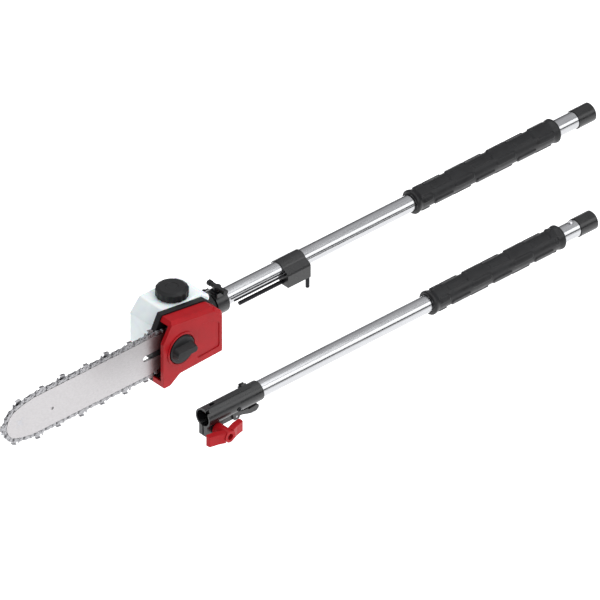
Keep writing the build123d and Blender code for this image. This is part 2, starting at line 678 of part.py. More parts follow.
# --- oil tank and feed -----------------------------------------------------------------------------------------
TANK_Y = (-21.5, 32.0)
TANK_WALL = 2.0
NECK_R = 17.0
NECK_BORE_R = 14.5
NECK_TOP_Z = 51.0
FEED_Y = 6.0
FEED_Z = -12.0
FEED_R = 2.2
GROMMET_R = 4.0
TANK_OUTLINE = [
    (-785.0, -30.0),
    (-785.0, 24.0),
    (-768.0, TANK_TOP_Z),
    (-704.0, TANK_TOP_Z),
    (-690.0, 34.0),
    (-690.0, 25.4),
    (-750.6, 25.4),
    (-750.6, -30.0),
]


def tank_profile(inset):
    """The tank's side view, pulled in by inset."""
    with BuildSketch(near_side(0)) as profile:
        with BuildLine():
            Polyline(*TANK_OUTLINE, close=True)
        make_face()
        inner_corner = profile.vertices().sort_by_distance((TANK_OUTLINE[6][0], TANK_OUTLINE[6][1], 0))[0]
        fillet(profile.vertices() - [inner_corner], 4.0)
        if inset:
            offset(amount=-inset, mode=Mode.REPLACE)
    return profile.sketch


with BuildPart() as oil_tank:
    extrude(tank_profile(0).moved(Location((0, TANK_Y[1], 0))), amount=TANK_Y[1] - TANK_Y[0], dir=(0, -1, 0))
    rims = oil_tank.faces().filter_by(Axis.Y).edges()
    fillet(rims, 3.8)
    round_bar(level(TANK_TOP_Z - 1, TANK_NECK_X, TANK_NECK_Y), NECK_TOP_Z - TANK_TOP_Z + 1, NECK_R)
    extrude(
        tank_profile(TANK_WALL).moved(Location((0, TANK_Y[1] - TANK_WALL, 0))),
        amount=TANK_Y[1] - TANK_Y[0] - 2 * TANK_WALL,
        dir=(0, -1, 0),
        mode=Mode.SUBTRACT,
    )
    round_bar(level(TANK_TOP_Z - 5, TANK_NECK_X, TANK_NECK_Y), 20.0, NECK_BORE_R, Mode.SUBTRACT)
    for x, z in TANK_SCREWS:
        round_bar(near_side(TANK_Y[0] + TANK_WALL + 11.0, x, z), 11.5, 4.6)
        round_bar(near_side(TANK_Y[0] + 9.6, x, z), 10.0, 1.8, Mode.SUBTRACT)
    round_bar(across(-753.0, FEED_Y, FEED_Z), 3.0, GROMMET_R, Mode.SUBTRACT)
save(oil_tank, "oil_tank")

with BuildPart() as tank_grommet:
    ring(across(-754.0, FEED_Y, FEED_Z), 4.6, GROMMET_R, FEED_R)
    ring(across(-754.6, FEED_Y, FEED_Z), 1.9, GROMMET_R + 1.6, FEED_R)
save(tank_grommet, "tank_grommet")

with BuildPart() as oil_hose:
    ring(across(-764.0, FEED_Y, FEED_Z), 26.0, FEED_R, 1.2)
save(oil_hose, "oil_hose")

with BuildPart() as oil_filter:
    ring(across(-774.0, FEED_Y, FEED_Z), 13.0, 5.0, FEED_R)
    round_bar(across(-776.0, FEED_Y, FEED_Z), 2.0, 5.0)
save(oil_filter, "oil_filter")

with BuildPart() as oil_pump:
    block((-738.0, -716.0), (2.6, 9.5), (-17.0, -7.0))
    round_bar(across(-738.0, FEED_Y, FEED_Z), 6.0, 1.2, Mode.SUBTRACT)
save(oil_pump, "oil_pump")

# --- tank cap ----------------------------------------------------------------------------------------------------
OIL_CAP_R = 22.3
OIL_CAP_Z = (44.4, 57.0)
CAP_FLUTES = 16
with BuildPart() as oil_cap:
    with BuildSketch(Plane.XZ.offset(-TANK_NECK_Y)) as section:
        with BuildLine():
            Polyline(
                (TANK_NECK_X, OIL_CAP_Z[1] - 0.8),
                (TANK_NECK_X + 8.0, OIL_CAP_Z[1] - 0.8),
                (TANK_NECK_X + 8.8, OIL_CAP_Z[1]),
                (TANK_NECK_X + OIL_CAP_R - 4.8, OIL_CAP_Z[1]),
                (TANK_NECK_X + OIL_CAP_R, OIL_CAP_Z[1] - 3.2),
                (TANK_NECK_X + OIL_CAP_R, OIL_CAP_Z[0]),
                (TANK_NECK_X + NECK_R + CLEAR, OIL_CAP_Z[0]),
                (TANK_NECK_X + NECK_R + CLEAR, NECK_TOP_Z + 2.2),
                (TANK_NECK_X, NECK_TOP_Z + 2.2),
                close=True,
            )
        make_face()
    revolve(axis=Axis((TANK_NECK_X, TANK_NECK_Y, 0), (0, 0, 1)))
    with BuildSketch(level(OIL_CAP_Z[0], TANK_NECK_X, TANK_NECK_Y)) as flutes:
        with PolarLocations(OIL_CAP_R + 7.4, CAP_FLUTES):
            Circle(8.2)
    extrude(flutes.sketch, amount=20.0, mode=Mode.SUBTRACT)
save(oil_cap, "oil_cap")

with BuildPart() as cap_seal:
    ring(level(NECK_TOP_Z + 0.1, TANK_NECK_X, TANK_NECK_Y), 1.9, NECK_R, NECK_BORE_R - 1.0)
save(cap_seal, "cap_seal")

# --- sprocket cover and its knob -----------------------------------------------------------------------------------
COVER_OUTLINE = [
    (-782.0, 48.0),
    (-708.0, 37.5),
    (-692.0, 24.0),
    (-692.0, -35.0),
    (-770.0, -37.6),
    (-787.0, -49.4),
    (-799.0, -49.4),
    (-799.0, 20.0),
]
COVER_CORNERS = [0, 12.0, 12.0, 0, 5.0, 3.0, 2.0, 4.0]  # the wide bevel stops at the two sharp corners
COVER_BEVEL = 4.5
COVER_PANEL = [(-740.0, 24.0), (-713.0, 20.5), (-701.0, 12.0), (-701.0, -26.0), (-740.0, -28.0)]
KNOB_RECESS_R = 22.0
KNOB_FLOOR_Y = -49.4


def cover_profile(inset):
    """The cover's outline pulled in by inset, with its own radius at each corner."""
    with BuildSketch(near_side(0)) as profile:
        with BuildLine():
            Polyline(*COVER_OUTLINE, close=True)
        make_face()
        for point, radius in zip(COVER_OUTLINE, COVER_CORNERS):
            if not radius:
                continue
            corner = profile.vertices().sort_by_distance((point[0], point[1], 0))[0]
            fillet(corner, radius)
        if inset:
            offset(amount=-inset, mode=Mode.REPLACE)
    return profile.sketch


with BuildPart() as sprocket_cover:
    extrude(
        cover_profile(0).moved(Location((0, COVER_BACK_Y, 0))),
        amount=COVER_BACK_Y - COVER_FRONT_Y,
        dir=(0, -1, 0),
    )
    rim = sprocket_cover.faces().sort_by(Axis.Y)[0].edges()
    chamfer(rim.filter_by(lambda edge: edge.center().X > -781.0 and edge.center().Z > -10.0), COVER_BEVEL)
    extrude(
        cover_profile(COVER_WALL).moved(Location((0, COVER_BACK_Y + 1, 0))),
        amount=COVER_BACK_Y - COVER_FRONT_Y + 1 - COVER_WALL - 2.4,
        dir=(0, -1, 0),
        mode=Mode.SUBTRACT,
    )
    block((-801.0, -779.0), (-46.6, COVER_BACK_Y + 1), (-40.5, 41.5), Mode.SUBTRACT)
    outline(near_side(COVER_FRONT_Y + 1.1), COVER_PANEL, 4.0, corner=4.0, mode=Mode.SUBTRACT)
    round_bar(near_side(-44.0, STUD_X), 9.2, KNOB_RECESS_R + 2.8)
    round_bar(near_side(KNOB_FLOOR_Y, STUD_X), 6.0, KNOB_RECESS_R, Mode.SUBTRACT)
    round_bar(near_side(-38.6, STUD_X), 8.0, 11.0)
    round_bar(near_side(-36.0, STUD_X), 20.0, STUD_R + 0.5, Mode.SUBTRACT)
save(sprocket_cover, "sprocket_cover")

KNOB_R = 20.5
with BuildPart() as cover_knob:
    round_bar(near_side(KNOB_FLOOR_Y - CLEAR, STUD_X), 5.6, KNOB_R)
    chamfer(cover_knob.faces().sort_by(Axis.Y)[0].edges(), 1.6)
    with BuildSketch(near_side(-54.5, STUD_X)) as foot:
        RectangleRounded(38.0, 17.0, 6.0)
    with BuildSketch(near_side(-64.5, STUD_X)) as crest:
        RectangleRounded(34.0, 9.0, 4.0)
    loft([foot.sketch, crest.sketch])
    round_bar(near_side(KNOB_FLOOR_Y, STUD_X), 8.6, 7.0, Mode.SUBTRACT)
    round_bar(near_side(KNOB_FLOOR_Y, STUD_X), 11.5, STUD_R + 0.4, Mode.SUBTRACT)
save(cover_knob, "cover_knob")

with BuildPart() as knob_nut:
    ring(near_side(KNOB_FLOOR_Y - CLEAR, STUD_X), 8.3, 7.0, STUD_R + RUNNING)
save(knob_nut, "knob_nut")

# --- collar with its tee-handled screw ---------------------------------------------------------------------------------
TEE_X = -663.0
TEE_Y = -5.0
TEE_R = 3.0
with BuildPart() as pole_collar:
    ring(across(COLLAR_X[0]), COLLAR_X[1] - COLLAR_X[0], 18.0, TUBE_R)
    block((TEE_X - 7, TEE_X + 7), (TEE_Y - 7, TEE_Y + 8), (14.0, 20.5), corner=2.0)
    block((TEE_X - 10, TEE_X + 10), (11.0, 25.0), (-4.5, 4.5))
    round_bar(level(13.0, TEE_X, TEE_Y), 10.0, TEE_R + RUNNING, Mode.SUBTRACT)
    block((COLLAR_X[0] - 3, COLLAR_X[1] + 3), (10.0, 26.0), (-1.0, 1.0), Mode.SUBTRACT)
    round_bar(level(-6.0, TEE_X, 21.2), 14.0, 1.6, Mode.SUBTRACT)
    round_bar(across(-900), 1000.0, TUBE_R, Mode.SUBTRACT)
save(pole_collar, "pole_collar")

with BuildPart() as collar_screw:
    cap_screw(level(4.5, TEE_X, 21.2).rotated((180, 0, 0)), 8.0, 1.6, 3.0, 2.8)
save(collar_screw, "collar_screw")

with BuildPart() as tee_handle:
    round_bar(level(13.2, TEE_X, TEE_Y), 10.0, TEE_R)
    round_bar(level(21.0, TEE_X, TEE_Y), 7.0, 5.2)
    with BuildSketch(near_side(TEE_Y + 16.0, TEE_X, 25.6)) as bar:
        RectangleRounded(6.6, 6.0, 2.2)
    extrude(bar.sketch, amount=32.0)
    with BuildSketch(near_side(TEE_Y + 17.0, TEE_X, 25.6)) as ends:
        RectangleRounded(7.8, 7.4, 3.0)
    extrude(ends.sketch, amount=5.0)
    extrude(ends.sketch.moved(Location((0, -28.0, 0))), amount=6.0)
save(tee_handle, "tee_handle")

# --- tool holder and hex keys ---------------------------------------------------------------------------------------------
HOLDER_R = 13.6
LARGE_KEY = {"y": -10.0, "z": -13.0, "flats": 5.0, "start": -629.0, "leg_x": -508.6, "leg_z": -42.0, "bend": 6.0}
SMALL_KEY = {"y": -15.2, "z": 0.0, "flats": 2.5, "start": -642.0, "leg_x": -510.4, "leg_z": -14.0, "bend": 3.2}

with BuildPart() as tool_holder:
    ring(across(HOLDER_X[0]), HOLDER_X[1] - HOLDER_X[0], HOLDER_R, TUBE_R)
    with BuildSketch(across(HOLDER_X[0])) as box:
        with BuildLine():
            Polyline((-2.0, 12.0), (-13.0, 7.0), (-20.5, 3.0), (-21.5, 0.0), (-21.5, -18.0), (-4.0, -18.0), close=True)
        make_face()
        Circle(TUBE_R, mode=Mode.SUBTRACT)
    extrude(box.sketch, amount=HOLDER_X[1] - HOLDER_X[0])
    for key in (LARGE_KEY, SMALL_KEY):
        hole_r = key["flats"] / math.sqrt(3) + 0.25
        round_bar(across(HOLDER_X[0] - 1, key["y"], key["z"]), 44.0, hole_r, Mode.SUBTRACT)
    round_bar(across(HOLDER_X[0] - 1), 44.0, TUBE_R, Mode.SUBTRACT)
save(tool_holder, "tool_holder")


def hex_key(y, z, flats, start, leg_x, leg_z, bend):
    """An L-shaped hex key: a long arm along the pole and a short leg that hangs down."""
    with BuildPart() as key:
        with BuildLine(Plane.XZ.offset(-y)) as route:
            Line((start, z), (leg_x - bend, z))
            RadiusArc((leg_x - bend, z), (leg_x, z - bend), bend)
            Line((leg_x, z - bend), (leg_x, leg_z))
        with BuildSketch(across(start, y, z)) as section:
            RegularPolygon(flats / math.sqrt(3), 6)
        sweep(section.sketch, path=route.wire())
    return key


large_hex_key = hex_key(**LARGE_KEY)
save(large_hex_key, "large_hex_key")
small_hex_key = hex_key(**SMALL_KEY)
save(small_hex_key, "small_hex_key")

# --- extension pole -----------------------------------------------------------------------------------------------------------
SNAP_X = -167.5
SNAP_R = 3.5
LOCK_X = -740.0
LOCK_R = 4.0
LOCK_LEAN = 40.0  # degrees from straight up, towards +Y
COUPLER_SCREW_X = -765.0
BOLT_R = 3.0

lock_out = (0, math.sin(math.radians(LOCK_LEAN)), math.cos(math.radians(LOCK_LEAN)))


def lock_plane(distance):
    """A plane square to the lock button's axis, at a distance from the pole's axis."""
    origin = (LOCK_X, EXT_Y + distance * lock_out[1], EXT_Z + distance * lock_out[2])
    return Plane(origin=origin, x_dir=(1, 0, 0), z_dir=lock_out)


def ext_side(y, x=0.0, z=0.0):
    """A near_side plane measured from the extension's axis."""
    return near_side(EXT_Y + y, x, EXT_Z + z)


def ext_block(x, y, z, mode=Mode.ADD):
    """A block whose Y and Z limits are measured from the extension's axis."""
    block(x, (EXT_Y + y[0], EXT_Y + y[1]), (EXT_Z + z[0], EXT_Z + z[1]), mode)


ext_tube = pole(EXT_TUBE_X, EXT_Y, EXT_Z)
with ext_tube:
    round_bar(level(EXT_Z, SNAP_X, EXT_Y), 20.0, SNAP_R + 0.1, Mode.SUBTRACT)
    round_bar(lock_plane(0), 20.0, LOCK_R + 0.2, Mode.SUBTRACT)
    round_bar(ext_side(0, COUPLER_SCREW_X, -3.0), 20.0, 1.8, Mode.SUBTRACT)
save(ext_tube, "ext_tube")
ext_grip = rubber_grip(EXT_GRIP_X, EXT_Y, EXT_Z)
save(ext_grip, "ext_grip")
ext_shaft_bushes = bushes((-758.0, -610.0, -460.0, -310.0, -188.0), EXT_Y, EXT_Z)
save(ext_shaft_bushes, "ext_shaft_bushes")
ext_end_cap = end_cap(EXT_TUBE_X[1], EXT_Y, EXT_Z)
save(ext_end_cap, "ext_end_cap")

with BuildPart() as ext_drive_shaft:
    round_bar(across(-776.0, EXT_Y, EXT_Z), 616.0, SHAFT_R)
    with BuildSketch(across(-160.0, EXT_Y, EXT_Z)) as profile:
        Rectangle(SQUARE, SQUARE)
    extrude(profile.sketch, amount=18.0)
save(ext_drive_shaft, "ext_drive_shaft")

with BuildPart() as shaft_socket:
    ring(across(-791.0, EXT_Y, EXT_Z), 31.5, 6.0, SHAFT_R)
    with BuildSketch(across(-791.0, EXT_Y, EXT_Z)) as profile:
        Rectangle(SQUARE + 0.4, SQUARE + 0.4)
    extrude(profile.sketch, amount=15.0, mode=Mode.SUBTRACT)
save(shaft_socket, "shaft_socket")

EAR_OUTLINE = [(-816.0, -9.0), (-816.0, -28.0), (-811.0, -33.0), (-801.0, -33.0), (-790.0, -25.0), (-787.5, -9.0)]
LUG_OUTLINE = [(-771.0, -10.0), (-768.0, -23.0), (-759.0, -23.0), (-755.0, -10.0)]
with BuildPart() as coupler_barrel:
    round_bar(across(EXT_MOUTH_X, EXT_Y, EXT_Z), EXT_BARREL_END_X - EXT_MOUTH_X, BARREL_R)
    ext_block((EXT_MOUTH_X, -735.0), (-4.0, 4.0), (12.5, 14.9))
    outline(ext_side(8.0), EAR_OUTLINE, 16.0, corner=2.0)
    outline(ext_side(7.4), LUG_OUTLINE, 14.8, corner=1.5)
    round_bar(lock_plane(8.0), 8.0, 6.2)
    ext_block((-772.0, -754.0), (-4.7, 4.7), (-26.0, -14.2), Mode.SUBTRACT)
    round_bar(across(EXT_MOUTH_X, EXT_Y, EXT_Z), EXT_GRIP_END_X - EXT_MOUTH_X, EXT_SOCKET_R, Mode.SUBTRACT)
    round_bar(across(EXT_GRIP_END_X, EXT_Y, EXT_Z), EXT_SOCKET_END_X - EXT_GRIP_END_X, EXT_RELIEF_R, Mode.SUBTRACT)
    round_bar(across(EXT_TUBE_X[0], EXT_Y, EXT_Z), 60.0, TUBE_R, Mode.SUBTRACT)
    round_bar(across(EXT_MOUTH_X, EXT_Y, EXT_Z), 60.0, 8.0, Mode.SUBTRACT)
    ext_block((EXT_MOUTH_X - 1, -786.5), (-1.2, 1.2), (-40.0, 0.0), Mode.SUBTRACT)
    ext_block((-786.6, -779.4), (-3.0, 3.0), (-20.0, 0.0), Mode.SUBTRACT)
    ext_block((-805.0, -797.0), (-2.2, 2.2), (8.0, 20.0), Mode.SUBTRACT)
    ext_block((EXT_MOUTH_X - 1, -811.0), (-9.5, -5.5), (4.0, 20.0), Mode.SUBTRACT)
    round_bar(ext_side(14.0, WING_X, -WING_DROP), 28.0, BOLT_R, Mode.SUBTRACT)
    round_bar(ext_side(14.0, LEVER_PIVOT_X, -LEVER_DROP), 28.0, 1.5, Mode.SUBTRACT)
    round_bar(lock_plane(5.0), 20.0, LOCK_R + RUNNING, Mode.SUBTRACT)
    round_bar(ext_side(0, COUPLER_SCREW_X, -3.0), 20.0, 1.8, Mode.SUBTRACT)
    round_bar(ext_side(-13.0, COUPLER_SCREW_X, -3.0), 20.0, 3.2, Mode.SUBTRACT)
save(coupler_barrel, "coupler_barrel")

with BuildPart() as coupler_screw:
    cap_screw(ext_side(-13.0, COUPLER_SCREW_X, -3.0).rotated((180, 0, 0)), 2.4, 1.8, 3.1, 1.8)
save(coupler_screw, "coupler_screw")

with BuildPart() as clamp_bolt:
    round_bar(ext_side(8.0, WING_X, -WING_DROP), 38.0, BOLT_R)
    with BuildSketch(ext_side(12.0, WING_X, -WING_DROP)) as head:
        RegularPolygon(5.8, 6)
    extrude(head.sketch, amount=4.0)
save(clamp_bolt, "clamp_bolt")

WING_TIP = [(4.0, -26.0), (16.0, -21.5), (28.0, -19.5), (30.0, -22.0), (29.0, -28.0), (16.0, -31.0), (6.0, -35.0)]
with BuildPart() as wing_knob:
    round_bar(ext_side(-9.6, WING_X, -WING_DROP), 26.4, 8.4)
    for side in (1, -1):
        points = [(WING_X + side * x, EXT_Y + y) for x, y in WING_TIP]
        outline(level(EXT_Z - WING_DROP - 7.5), points, 15.0, corner=1.5)
    round_bar(ext_side(0.0, WING_X, -WING_DROP), 31.0, BOLT_R + RUNNING, Mode.SUBTRACT)
    round_bar(ext_side(-30.5, WING_X, -WING_DROP), 8.0, 4.6, Mode.SUBTRACT)
save(wing_knob, "wing_knob")

LEVER_OUTLINE = [
    (-786.0, -15.4),
    (-766.0, -15.4),
    (-742.0, -17.4),
    (-740.0, -19.4),
    (-727.0, -18.4),
    (-722.0, -19.8),
    (-722.5, -24.2),
    (-727.0, -27.6),
    (-735.0, -27.6),
    (-742.0, -25.6),
    (-752.0, -22.4),
    (-786.0, -22.4),
]
with BuildPart() as release_lever:
    outline(ext_side(4.4), LEVER_OUTLINE, 8.8, corner=0.8)
    ext_block((-785.6, -780.6), (-2.6, 2.6), (-17.0, -10.5))
    round_bar(ext_side(20.0, LEVER_PIVOT_X, -LEVER_DROP), 40.0, 1.5 + RUNNING, Mode.SUBTRACT)
    for n in range(4):
        x = -740.0 + 3.6 * n
        ext_block((x, x + 1.4), (-6.0, 6.0), (-30.0, -26.9), Mode.SUBTRACT)
    ext_block((-750.0, -743.6), (-3.4, 3.4), (-18.5, -12.0), Mode.SUBTRACT)
save(release_lever, "release_lever")

with BuildPart() as lever_pin:
    round_bar(ext_side(7.4, LEVER_PIVOT_X, -LEVER_DROP), 14.8, 1.5)
save(lever_pin, "lever_pin")

with BuildPart() as lever_spring:
    with BuildLine():
        coil = Helix(pitch=1.25, height=3.75, radius=2.3, center=(-746.8, EXT_Y, EXT_Z - 18.1))
    with BuildSketch(Plane(origin=coil @ 0, z_dir=coil % 0)) as wire:
        Circle(0.35)
    sweep(wire.sketch, path=coil)
save(lever_spring, "lever_spring")

with BuildPart() as lock_button:
    round_bar(lock_plane(10.4), 8.2, LOCK_R)
    fillet(lock_button.faces().sort_by(Axis(lock_plane(0).origin, lock_out))[-1].edges(), 1.2)
save(lock_button, "lock_button")

with BuildPart() as snap_button:
    round_bar(level(EXT_Z + 10.36, SNAP_X, EXT_Y), 4.9, SNAP_R)
    fillet(snap_button.faces().sort_by(Axis.Z)[-1].edges(), 1.6)
save(snap_button, "snap_button")

with BuildPart() as snap_spring:
    ring(across(SNAP_X - 3.0, EXT_Y, EXT_Z), 6.0, 10.3, 9.7)
    ext_block((SNAP_X - 4.0, SNAP_X + 4.0), (-3.0, 3.0), (-12.0, 0.0), Mode.SUBTRACT)
save(snap_spring, "snap_spring")
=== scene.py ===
# %% [markdown]
# # A pole saw head on its pole, with a second pole beside it
# The CAD model gives every rigid piece its true shape and place, in metres, with the main pole along X.
# This file adds what the CAD model can't carry: the finish of each material, and the moulded rubber grips.
# The frame is loaded first, so that every later size can be read from it and nothing is placed by eye.

# %% load the frame
import json
import math

import bmesh
import bpy
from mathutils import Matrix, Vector


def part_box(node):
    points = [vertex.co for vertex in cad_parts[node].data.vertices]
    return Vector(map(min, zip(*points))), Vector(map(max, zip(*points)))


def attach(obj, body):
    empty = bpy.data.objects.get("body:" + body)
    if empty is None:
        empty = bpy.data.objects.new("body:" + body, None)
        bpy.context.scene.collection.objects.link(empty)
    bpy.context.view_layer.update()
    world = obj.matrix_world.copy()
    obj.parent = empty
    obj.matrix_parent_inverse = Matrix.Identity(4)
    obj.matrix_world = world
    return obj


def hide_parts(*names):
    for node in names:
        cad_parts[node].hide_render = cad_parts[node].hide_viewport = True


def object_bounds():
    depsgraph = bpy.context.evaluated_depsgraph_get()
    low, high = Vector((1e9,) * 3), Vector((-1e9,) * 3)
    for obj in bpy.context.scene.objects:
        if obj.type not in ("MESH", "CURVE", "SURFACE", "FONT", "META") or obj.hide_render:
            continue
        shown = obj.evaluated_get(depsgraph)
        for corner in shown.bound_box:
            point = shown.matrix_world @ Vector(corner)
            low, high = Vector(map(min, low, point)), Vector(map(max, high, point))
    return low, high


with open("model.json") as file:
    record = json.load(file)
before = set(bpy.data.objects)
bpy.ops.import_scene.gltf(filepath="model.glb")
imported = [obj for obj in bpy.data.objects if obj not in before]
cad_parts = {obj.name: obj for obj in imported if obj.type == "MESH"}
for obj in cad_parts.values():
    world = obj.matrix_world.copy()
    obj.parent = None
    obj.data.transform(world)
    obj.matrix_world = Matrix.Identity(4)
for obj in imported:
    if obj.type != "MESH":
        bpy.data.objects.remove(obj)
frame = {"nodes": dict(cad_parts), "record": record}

MM = 0.001
cad_low, cad_high = [list(map(float, corner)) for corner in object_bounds()]
nodes = frame["nodes"]


# %% [markdown]
# ## Two helpers for materials
# Colours are written as sRGB hex, as a paint card gives them, and the renderer works in linear light.
# One function turns hex to linear, and one adds a shader node with its settings and its links.
# A value that is a socket is linked, and any other value is typed into the input.

# %% helpers
def linear(hex_colour):
    """Turns #RRGGBB into a linear RGBA colour."""
    channels = [int(hex_colour[i:i + 2], 16) / 255 for i in (1, 3, 5)]
    return [c / 12.92 if c <= 0.04045 else ((c + 0.055) / 1.055) ** 2.4 for c in channels] + [1.0]


def add_node(tree, kind, settings=None, **inputs):
    """Adds one shader node. An input's name is written with _ for a space, or as n0, n1 for its number."""
    node = tree.nodes.new(kind)
    for key, value in (settings or {}).items():
        setattr(node, key, value)
    for key, value in inputs.items():
        numbered = key[0] == "n" and key[1:].isdigit()
        socket = node.inputs[int(key[1:])] if numbered else node.inputs[key.replace("_", " ")]
        if isinstance(value, bpy.types.NodeSocket):
            tree.links.new(value, socket)
        else:
            socket.default_value = value
    return node


def blank_material(name):
    """A material with an empty node tree and its output node."""
    material = bpy.data.materials.new(name)
    material.use_nodes = True
    material.node_tree.nodes.clear()
    return material, material.node_tree


print("helpers ready; mid grey is", round(linear("#808080")[0], 3), "in linear light")

# %% [markdown]
# ## Camera
# The object is shown as in a catalogue, from above and from the bar's side, with almost no perspective.
# A real product photographer steps far back and uses a very long lens, and so does this camera.
# The direction is a turn about Z and a tilt; the aim is a point between the two poles.

# %% camera
TURN = math.radians(-41.8)
TILT = math.radians(34.65)
DISTANCE = 34.0
VIEW_WIDTH = 0.787
SENSOR = 36.0
aim = Vector((-0.580, -0.075, 0.0033))
back = Vector((math.sin(TURN) * math.cos(TILT), -math.cos(TURN) * math.cos(TILT), math.sin(TILT)))
camera_data = bpy.data.cameras.new("catalogue_camera")
camera_data.sensor_width = SENSOR
camera_data.lens = SENSOR * DISTANCE / VIEW_WIDTH
camera_data.clip_end = 2 * DISTANCE
camera = bpy.data.objects.new("catalogue_camera", camera_data)
camera.location = aim + back * DISTANCE
camera.rotation_euler = (-back).to_track_quat("-Z", "Y").to_euler()
bpy.context.scene.collection.objects.link(camera)
bpy.context.scene.camera = camera
print("camera lens", round(camera_data.lens), "mm")

# %% [markdown]
# ## Studio
# A floor well below the object glows a little itself, as a light table does, so that hardly a shadow shows.
# Bright metal shows what stands around it, so the tubes need something to mirror:
# a pale room with a dark band at the horizon, a long lamp low on the near side, and weak ones above and behind.

# %% studio
FLOOR_DROP = 0.55
FLOOR_SIZE = 60.0
FLOOR_GLOW = 0.62
floor_mesh = bpy.data.meshes.new("studio_floor")
half = FLOOR_SIZE / 2
floor_z = cad_low[2] - FLOOR_DROP
corners = [(-half, -half, floor_z), (half, -half, floor_z), (half, half, floor_z), (-half, half, floor_z)]
floor_mesh.from_pydata(corners, [], [(0, 1, 2, 3)])
floor = bpy.data.objects.new("studio_floor", floor_mesh)
bpy.context.scene.collection.objects.link(floor)
floor_material, tree = blank_material("white_paper")
paper = add_node(
    tree,
    "ShaderNodeBsdfPrincipled",
    Base_Color=linear("#F8F8F8"),
    Roughness=0.9,
    Emission_Color=linear("#FFFFFF"),
    Emission_Strength=FLOOR_GLOW,
)
add_node(tree, "ShaderNodeOutputMaterial", Surface=paper.outputs[0])
floor_mesh.materials.append(floor_material)

world = bpy.data.worlds.new("pale_room")
world.use_nodes = True
tree = world.node_tree
tree.nodes.clear()
sky = add_node(tree, "ShaderNodeTexCoord")
height = add_node(tree, "ShaderNodeSeparateXYZ", Vector=sky.outputs["Generated"])
walls = add_node(tree, "ShaderNodeValToRGB", Fac=height.outputs["Z"])
WALLS = [(0.0, "#0C0C0D"), (0.10, "#141415"), (0.22, "#77777A"), (0.45, "#D2D2D4"), (0.8, "#FAFAFC")]
for position, colour in WALLS[1:-1]:
    walls.color_ramp.elements.new(position)
for stop, (position, colour) in zip(walls.color_ramp.elements, WALLS):
    stop.position = position
    stop.color = linear(colour)
glow = add_node(tree, "ShaderNodeBackground", Color=walls.outputs[0], Strength=0.75)
add_node(tree, "ShaderNodeOutputWorld", Surface=glow.outputs[0])
bpy.context.scene.world = world
bpy.context.scene.view_settings.view_transform = "Standard"


def lamp(name, place, aim_at, size, power):
    """A rectangular area lamp that faces a point."""
    data = bpy.data.lights.new(name, "AREA")
    data.shape = "RECTANGLE"
    data.size, data.size_y = size
    data.energy = power
    lamp_object = bpy.data.objects.new(name, data)
    lamp_object.location = place
    lamp_object.rotation_euler = (Vector(aim_at) - Vector(place)).to_track_quat("-Z", "Y").to_euler()
    bpy.context.scene.collection.objects.link(lamp_object)


lamp("near_softbox", (-0.4, -2.0, 1.1), aim, (4.5, 1.3), 34)
lamp("overhead_softbox", (0.0, 0.1, 2.4), aim, (4.0, 1.2), 30)
lamp("back_softbox", (-1.2, 2.6, 1.6), aim, (3.0, 1.0), 5)

# %% [markdown]
# ## Rounded edges
# No moulded or machined edge is truly sharp, and its tiny round is what catches the light.
# Modelling it on sixty pieces would cost much geometry, so the shader rounds the normal near each edge.
# Every finish below starts from this normal and adds its own grain to it.

# %% rounded edges and grain
EDGE_ROUND = 0.35 * MM


def places(tree, stretch=(1, 1, 1)):
    """The point on the object in metres, stretched so that a pattern can run along one axis."""
    coords = add_node(tree, "ShaderNodeTexCoord")
    mapping = add_node(tree, "ShaderNodeMapping", Vector=coords.outputs["Object"], Scale=stretch)
    return mapping.outputs[0]


def speckle(tree, size, stretch=(1, 1, 1), detail=4.0):
    """Cloudy noise whose spots are about size metres across."""
    point = places(tree, stretch)
    return add_node(tree, "ShaderNodeTexNoise", Vector=point, Scale=1 / size, Detail=detail).outputs["Fac"]


def between(tree, factor, low, high):
    """Spreads a 0.3 to 0.7 noise over the range low to high."""
    settings = {"clamp": True}
    spread = add_node(tree, "ShaderNodeMapRange", settings, Value=factor, n1=0.3, n2=0.7, n3=low, n4=high)
    return spread.outputs[0]


def tint(tree, factor, dark, light):
    """Mixes two hex colours by a 0.3 to 0.7 noise."""
    ramp = add_node(tree, "ShaderNodeValToRGB", Fac=factor)
    ramp.color_ramp.elements[0].position = 0.3
    ramp.color_ramp.elements[0].color = linear(dark)
    ramp.color_ramp.elements[1].position = 0.7
    ramp.color_ramp.elements[1].color = linear(light)
    return ramp.outputs[0]


def relief(tree, height, depth, rounding=EDGE_ROUND):
    """A bump of so many metres on top of rounded edges."""
    edge = add_node(tree, "ShaderNodeBevel", {"samples": 4}, Radius=rounding)
    bump = add_node(tree, "ShaderNodeBump", Height=height, Distance=depth, Normal=edge.outputs[0])
    return bump.outputs[0]


def finish_with(tree, **inputs):
    """Adds the surface shader and the output."""
    shader = add_node(tree, "ShaderNodeBsdfPrincipled", **inputs)
    add_node(tree, "ShaderNodeOutputMaterial", Surface=shader.outputs[0])
    return shader


finishes = {}

# %% [markdown]
# ## Metals
# The tubes are drawn aluminium: the die leaves fine streaks along the tube that stretch its highlights.
# The guide bar is ground steel, nearly as pale but much duller, with a fine mottle. The chain is hardened.
# A metal keeps its default refraction, so only colour, roughness and the direction of the grain differ.

# %% metals
def metal(slot, name, dark, light, rough, spot, stretch, depth, rounding=EDGE_ROUND):
    """A metal finish: two tones, a range of roughness, and the size and direction of its grain."""
    material, tree = blank_material(name)
    grain = speckle(tree, spot, stretch)
    finish_with(
        tree,
        Base_Color=tint(tree, grain, dark, light),
        Metallic=1.0,
        Roughness=between(tree, grain, *rough),
        Normal=relief(tree, grain, depth, rounding),
    )
    finishes[slot] = material


